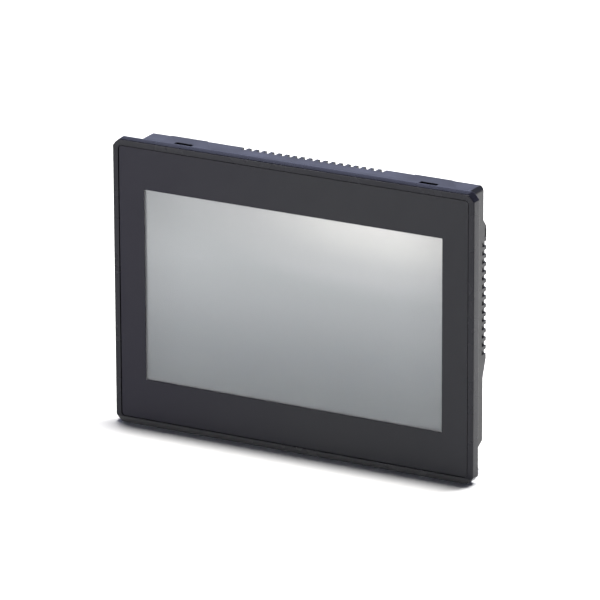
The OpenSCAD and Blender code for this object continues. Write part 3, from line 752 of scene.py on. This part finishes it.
def make_display():
    """Display glass with its picture area set inside a printed border."""
    low, high = span_mm("lcd_glass")
    width, height = high.x - low.x, high.z - low.z
    face_w, face_h = width - 2 * GLASS_EDGE, height - 2 * GLASS_EDGE
    bm = bmesh.new()
    loops = add_loops(bm, (
        (face_w, face_h, GLASS_CORNER, high.y),
        (width, height, GLASS_CORNER, high.y - GLASS_EDGE),
        (width, height, GLASS_CORNER, low.y + GLASS_EDGE),
        (face_w, face_h, GLASS_CORNER, low.y),
        (PICTURE_W, PICTURE_H, PICTURE_CORNER, low.y),
        (PICTURE_W, PICTURE_H, PICTURE_CORNER, low.y + PICTURE_SINK),
    ), 1)
    border = [bm.faces.new(list(reversed(loops[0])))]
    for one, other in zip(loops, loops[1:]):
        border += join_loops(bm, one, other)
    for face in border:
        face.material_index = 1
    bm.faces.new(loops[-1])
    piece = new_piece("lcd_glass_looks", bm)
    piece.data.materials.append(materials["display_glass"])
    piece.data.materials.append(materials["display_border"])
    stand_for(piece, "lcd_glass")


make_front_frame()
make_overlay()
make_display()
softened("touch_screen", 0.1, 1)
softened("panel_seal", 0.3)


# ---------------------------------------------------------------- housing and the rest

softened("rear_cover", 0.2)

# how far the edges of each of the smaller pieces are rounded
for node, edge in (
    ("rating_label", 0.05),
    ("coin_cell_holder", 0.2), ("coin_cell", 0.25), ("dip_switch_base", 0.12),
    ("dip_lever_1", 0.12), ("dip_lever_2", 0.12), ("dip_lever_3", 0.12), ("dip_lever_4", 0.12),
    ("reset_switch", 0.2), ("reset_button", 0.25),
    ("power_header", 0.2), ("power_pins", 0.1), ("power_plug_body", 0.2), ("plug_wire_clamps", 0.1),
    ("ethernet_jack_shell", 0.12), ("ethernet_jack_insert", 0.15), ("ethernet_contacts", 0.08),
    ("usb_host_shell", 0.12), ("usb_host_tongue", 0.15), ("usb_device_shell", 0.1),
    ("usb_device_tongue", 0.12), ("serial_port_shell", 0.15), ("serial_port_insert", 0.12),
    ("serial_jack_screws", 0.2), ("memory_card_slot", 0.1),
    ("earth_tab", 0.15), ("earth_screw", 0.15), ("earth_nut", 0.15),
    ("main_board", 0.1), ("processor_chip", 0.2), ("processor_heat_sink", 0.2),
    ("memory_chips", 0.15), ("capacitors", 0.4), ("buzzer", 0.3),
    ("board_standoffs", 0.1), ("support_plate", 0.15),
):
    softened(node, edge)

for node in ("rear_cover_screws", "plate_screws", "board_screws"):
    make_screws(node, head_t=2, shank_r=1.45, drive=CROSS)
for i in (1, 2, 3):
    make_screws(f"terminal_screw_{i}", head_t=2.3, shank_r=1.2, drive=SLOT)

# the door's grip grooves: their number, place, pitch and size
GRIPS = 6
GRIP_START = 3
GRIP_PITCH = 1.7
GRIP_W = 0.8
GRIP_L = 16
GRIP_DEPTH = 0.4


def make_battery_door():
    """Battery door, with grip grooves beside its free edge."""
    door = softened("battery_door", 0.25)
    low, high = span_mm("battery_door")
    middle_z = (low.z + high.z) / 2
    cutter = bmesh.new()
    for i in range(GRIPS):
        right = high.x - GRIP_START - i * GRIP_PITCH
        add_block(cutter, Vector((right - GRIP_W, high.y - GRIP_DEPTH, middle_z - GRIP_L / 2)),
                  Vector((right, high.y + CLEAR, middle_z + GRIP_L / 2)))
    cut(door, cutter)


make_battery_door()

for node, cad in frame["nodes"].items():
    if not cad.hide_render:
        cad.data.materials.clear()
        cad.data.materials.append(materials[node_slots[node]])


# ---------------------------------------------------------------- floor, world and lights

FLOOR_COLOUR = (0.88, 0.88, 0.88)
FLOOR_RADIUS = 9

# the world's light: its colour, its strength at elevations in degrees, and its change from the sides to
# the back left, as a range of cosines and the strengths at the two ends
WORLD_COLOUR = (0.67, 0.72, 1.04)
WORLD_BAND = ((0, 0.7), (12, 1.25), (17, 1.7), (19, 1.4), (21, 0.35), (24, 0.05), (90, 0.03))
WORLD_SIDE = (0.45, 0.9, 0.2, 1.4)


def make_floor():
    """A pale matt disc under the panel."""
    look = Look("floor", FLOOR_COLOUR, 0.7)
    look.shade(look.noise(400, 2), FLOOR_COLOUR, 0.01)
    bm = bmesh.new()
    bmesh.ops.create_circle(bm, cap_ends=True, radius=FLOOR_RADIUS, segments=96)
    mesh = bpy.data.meshes.new("floor")
    bm.to_mesh(mesh)
    bm.free()
    floor = bpy.data.objects.new("floor", mesh)
    floor.location.z = cad_low.z
    mesh.materials.append(look.material)
    bpy.context.scene.collection.objects.link(floor)


def make_world():
    """A cool band low at the back left, as a lit backdrop gives, under a dark ceiling."""
    world = bpy.data.worlds.new("studio")
    bpy.context.scene.world = world
    world.use_nodes = True
    tree = world.node_tree
    place = tree.nodes.new("ShaderNodeTexCoord").outputs["Generated"]
    split = tree.nodes.new("ShaderNodeSeparateXYZ")
    tree.links.new(place, split.inputs["Vector"])
    ramp = tree.nodes.new("ShaderNodeValToRGB")
    elements = ramp.color_ramp.elements
    while len(elements) < len(WORLD_BAND):
        elements.new(0.5)
    for element, (elevation, strength) in zip(elements, WORLD_BAND):
        element.position = math.sin(math.radians(elevation))
        element.color = (*(channel * strength for channel in WORLD_COLOUR), 1)
    tree.links.new(split.outputs["Z"], ramp.inputs["Fac"])
    tree.links.new(ramp.outputs["Color"], tree.nodes["Background"].inputs["Color"])
    towards = tree.nodes.new("ShaderNodeVectorMath")
    towards.operation = "DOT_PRODUCT"
    towards.inputs[1].default_value = (-math.sin(AZIMUTH), math.cos(AZIMUTH), 0)
    tree.links.new(place, towards.inputs[0])
    side = tree.nodes.new("ShaderNodeMapRange")
    for socket, value in zip(("From Min", "From Max", "To Min", "To Max"), WORLD_SIDE):
        side.inputs[socket].default_value = value
    tree.links.new(towards.outputs["Value"], side.inputs["Value"])
    tree.links.new(side.outputs["Result"], tree.nodes["Background"].inputs["Strength"])


def softbox(name, at, aim, size, power, colour, glossy=True):
    """A rectangular lamp. One that isn't glossy leaves no highlight of its own."""
    lamp = bpy.data.lights.new(name, "AREA")
    lamp.shape = "RECTANGLE"
    lamp.size, lamp.size_y = size
    lamp.energy = power
    lamp.color = colour
    holder = bpy.data.objects.new(name, lamp)
    holder.visible_glossy = glossy
    holder.location = at
    holder.rotation_mode = "QUATERNION"
    holder.rotation_quaternion = (Vector(aim) - Vector(at)).to_track_quat("-Z", "Y")
    bpy.context.scene.collection.objects.link(holder)


make_floor()
make_world()
softbox("overhead", (-0.2, 0.34, 5.0), (-0.2, 0.34, 0), (1.0, 0.46), 335, (1.0, 0.99, 0.97))
softbox("floor_wash", (0.35, 0.6, 0.85), (0.2, 0.35, -0.1), (0.4, 0.4), 15.5, (1.0, 1.0, 1.0),
        glossy=False)
softbox("front_low", (-1.44, -2.63, 0.05), (0, 0, 0), (1.2, 0.25), 35.5, (0.99, 0.99, 1.03))
bpy.context.scene.view_settings.view_transform = "Standard"
